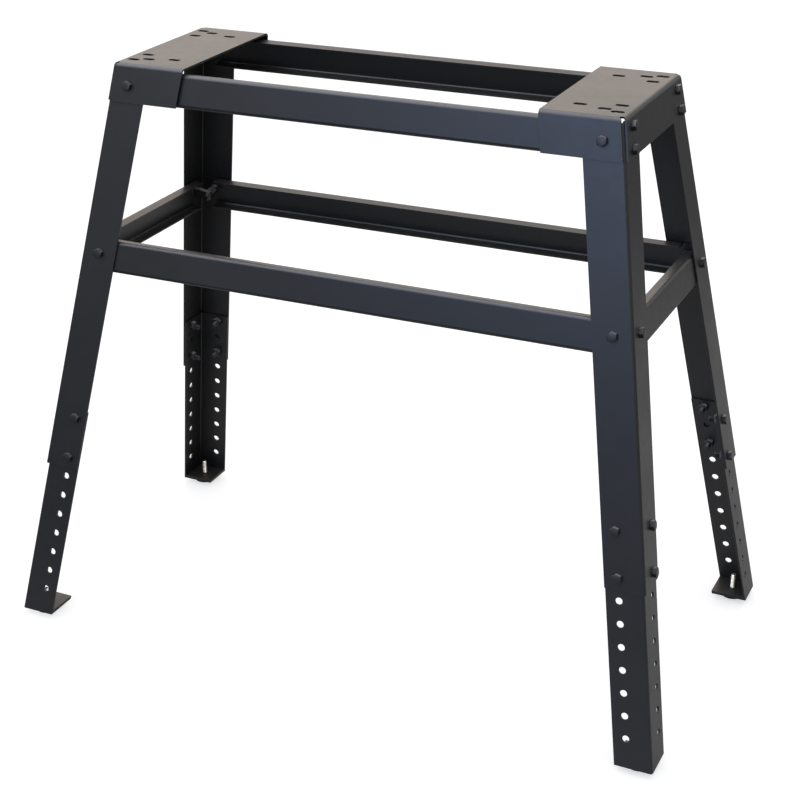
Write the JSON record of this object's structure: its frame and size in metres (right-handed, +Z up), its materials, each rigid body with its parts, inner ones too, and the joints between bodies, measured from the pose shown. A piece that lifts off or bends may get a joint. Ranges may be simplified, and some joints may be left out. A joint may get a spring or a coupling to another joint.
{
  "type": "lathe stand",
  "caption": "Height-adjustable bolted sheet-steel stand with slotted end caps, splayed telescoping angle legs and levelling feet, for a small lathe.",
  "frame": {"origin": "on the floor, midway between the four feet, with the legs fully out", "axes": "+X along the stand to its right-hand cap, +Y to the back, +Z up"},
  "size_m": [0.9506, 0.514, 0.797],
  "materials": {
    "cap_paint": "satin black powder coat, dulled on top",
    "frame_paint": "satin black powder coat",
    "black_fasteners": "black oxide with a slight sheen",
    "foot_screw_zinc": "zinc plate with a faint yellow passivation",
    "pad_plastic": "moulded, fine grain"
  },
  "bodies": {
    "frame": {"cap_left": "cap_paint", "cap_right": "cap_paint", "upper_leg_front_left": "frame_paint", "upper_leg_front_right": "frame_paint", "upper_leg_back_left": "frame_paint", "upper_leg_back_right": "frame_paint", "top_rail_front": "frame_paint", "top_rail_back": "frame_paint", "lower_rail_front": "frame_paint", "lower_rail_back": "frame_paint", "cross_rail_left": "frame_paint", "cross_rail_right": "frame_paint", "cap_bolts": "black_fasteners", "cap_nuts": "black_fasteners", "rail_bolts": "black_fasteners", "rail_nuts": "black_fasteners", "pin_bolts_front_left": "black_fasteners", "pin_bolts_front_right": "black_fasteners", "pin_bolts_back_left": "black_fasteners", "pin_bolts_back_right": "black_fasteners", "pin_nuts_front_left": "black_fasteners", "pin_nuts_front_right": "black_fasteners", "pin_nuts_back_left": "black_fasteners", "pin_nuts_back_right": "black_fasteners"},
    "leg_front_left": {"lower_leg_front_left": "frame_paint", "foot_plate_front_left": "frame_paint"},
    "pad_front_left": {"foot_pad_front_left": "pad_plastic"},
    "screw_front_left": {"foot_screw_front_left": "foot_screw_zinc"},
    "leg_front_right": {"lower_leg_front_right": "frame_paint", "foot_plate_front_right": "frame_paint"},
    "pad_front_right": {"foot_pad_front_right": "pad_plastic"},
    "screw_front_right": {"foot_screw_front_right": "foot_screw_zinc"},
    "leg_back_left": {"lower_leg_back_left": "frame_paint", "foot_plate_back_left": "frame_paint"},
    "pad_back_left": {"foot_pad_back_left": "pad_plastic"},
    "screw_back_left": {"foot_screw_back_left": "foot_screw_zinc"},
    "leg_back_right": {"lower_leg_back_right": "frame_paint", "foot_plate_back_right": "frame_paint"},
    "pad_back_right": {"foot_pad_back_right": "pad_plastic"},
    "screw_back_right": {"foot_screw_back_right": "foot_screw_zinc"}
  },
  "joints": [
    {"name": "leg_slide_front_left", "type": "slide", "parent": "frame", "child": "leg_front_left", "axis": [0.1607, 0.1782, 0.9708], "range_m": [0, 0.18]},
    {"name": "foot_travel_front_left", "type": "slide", "parent": "leg_front_left", "child": "pad_front_left", "axis": [0, 0, -1], "range_m": [0, 0.012]},
    {"name": "foot_turn_front_left", "type": "hinge", "parent": "pad_front_left", "child": "screw_front_left", "pos_m": [-0.45008, -0.23177, 0.008], "axis": [0, 0, -1], "range_deg": [0, 3600]},
    {"name": "leg_slide_front_right", "type": "slide", "parent": "frame", "child": "leg_front_right", "axis": [-0.1607, 0.1782, 0.9708], "range_m": [0, 0.18]},
    {"name": "foot_travel_front_right", "type": "slide", "parent": "leg_front_right", "child": "pad_front_right", "axis": [0, 0, -1], "range_m": [0, 0.012]},
    {"name": "foot_turn_front_right", "type": "hinge", "parent": "pad_front_right", "child": "screw_front_right", "pos_m": [0.45008, -0.23177, 0.008], "axis": [0, 0, -1], "range_deg": [0, 3600]},
    {"name": "leg_slide_back_left", "type": "slide", "parent": "frame", "child": "leg_back_left", "axis": [0.1607, -0.1782, 0.9708], "range_m": [0, 0.18]},
    {"name": "foot_travel_back_left", "type": "slide", "parent": "leg_back_left", "child": "pad_back_left", "axis": [0, 0, -1], "range_m": [0, 0.012]},
    {"name": "foot_turn_back_left", "type": "hinge", "parent": "pad_back_left", "child": "screw_back_left", "pos_m": [-0.45008, 0.23177, 0.008], "axis": [0, 0, -1], "range_deg": [0, 3600]},
    {"name": "leg_slide_back_right", "type": "slide", "parent": "frame", "child": "leg_back_right", "axis": [-0.1607, -0.1782, 0.9708], "range_m": [0, 0.18]},
    {"name": "foot_travel_back_right", "type": "slide", "parent": "leg_back_right", "child": "pad_back_right", "axis": [0, 0, -1], "range_m": [0, 0.012]},
    {"name": "foot_turn_back_right", "type": "hinge", "parent": "pad_back_right", "child": "screw_back_right", "pos_m": [0.45008, 0.23177, 0.008], "axis": [0, 0, -1], "range_deg": [0, 3600]}
  ],
  "couplings": [
    {"joint": "foot_turn_front_left", "follows": "foot_travel_front_left", "rad_per_m": 5026.5},
    {"joint": "foot_turn_front_right", "follows": "foot_travel_front_right", "rad_per_m": 5026.5},
    {"joint": "foot_turn_back_left", "follows": "foot_travel_back_left", "rad_per_m": 5026.5},
    {"joint": "foot_turn_back_right", "follows": "foot_travel_back_right", "rad_per_m": 5026.5}
  ]
}
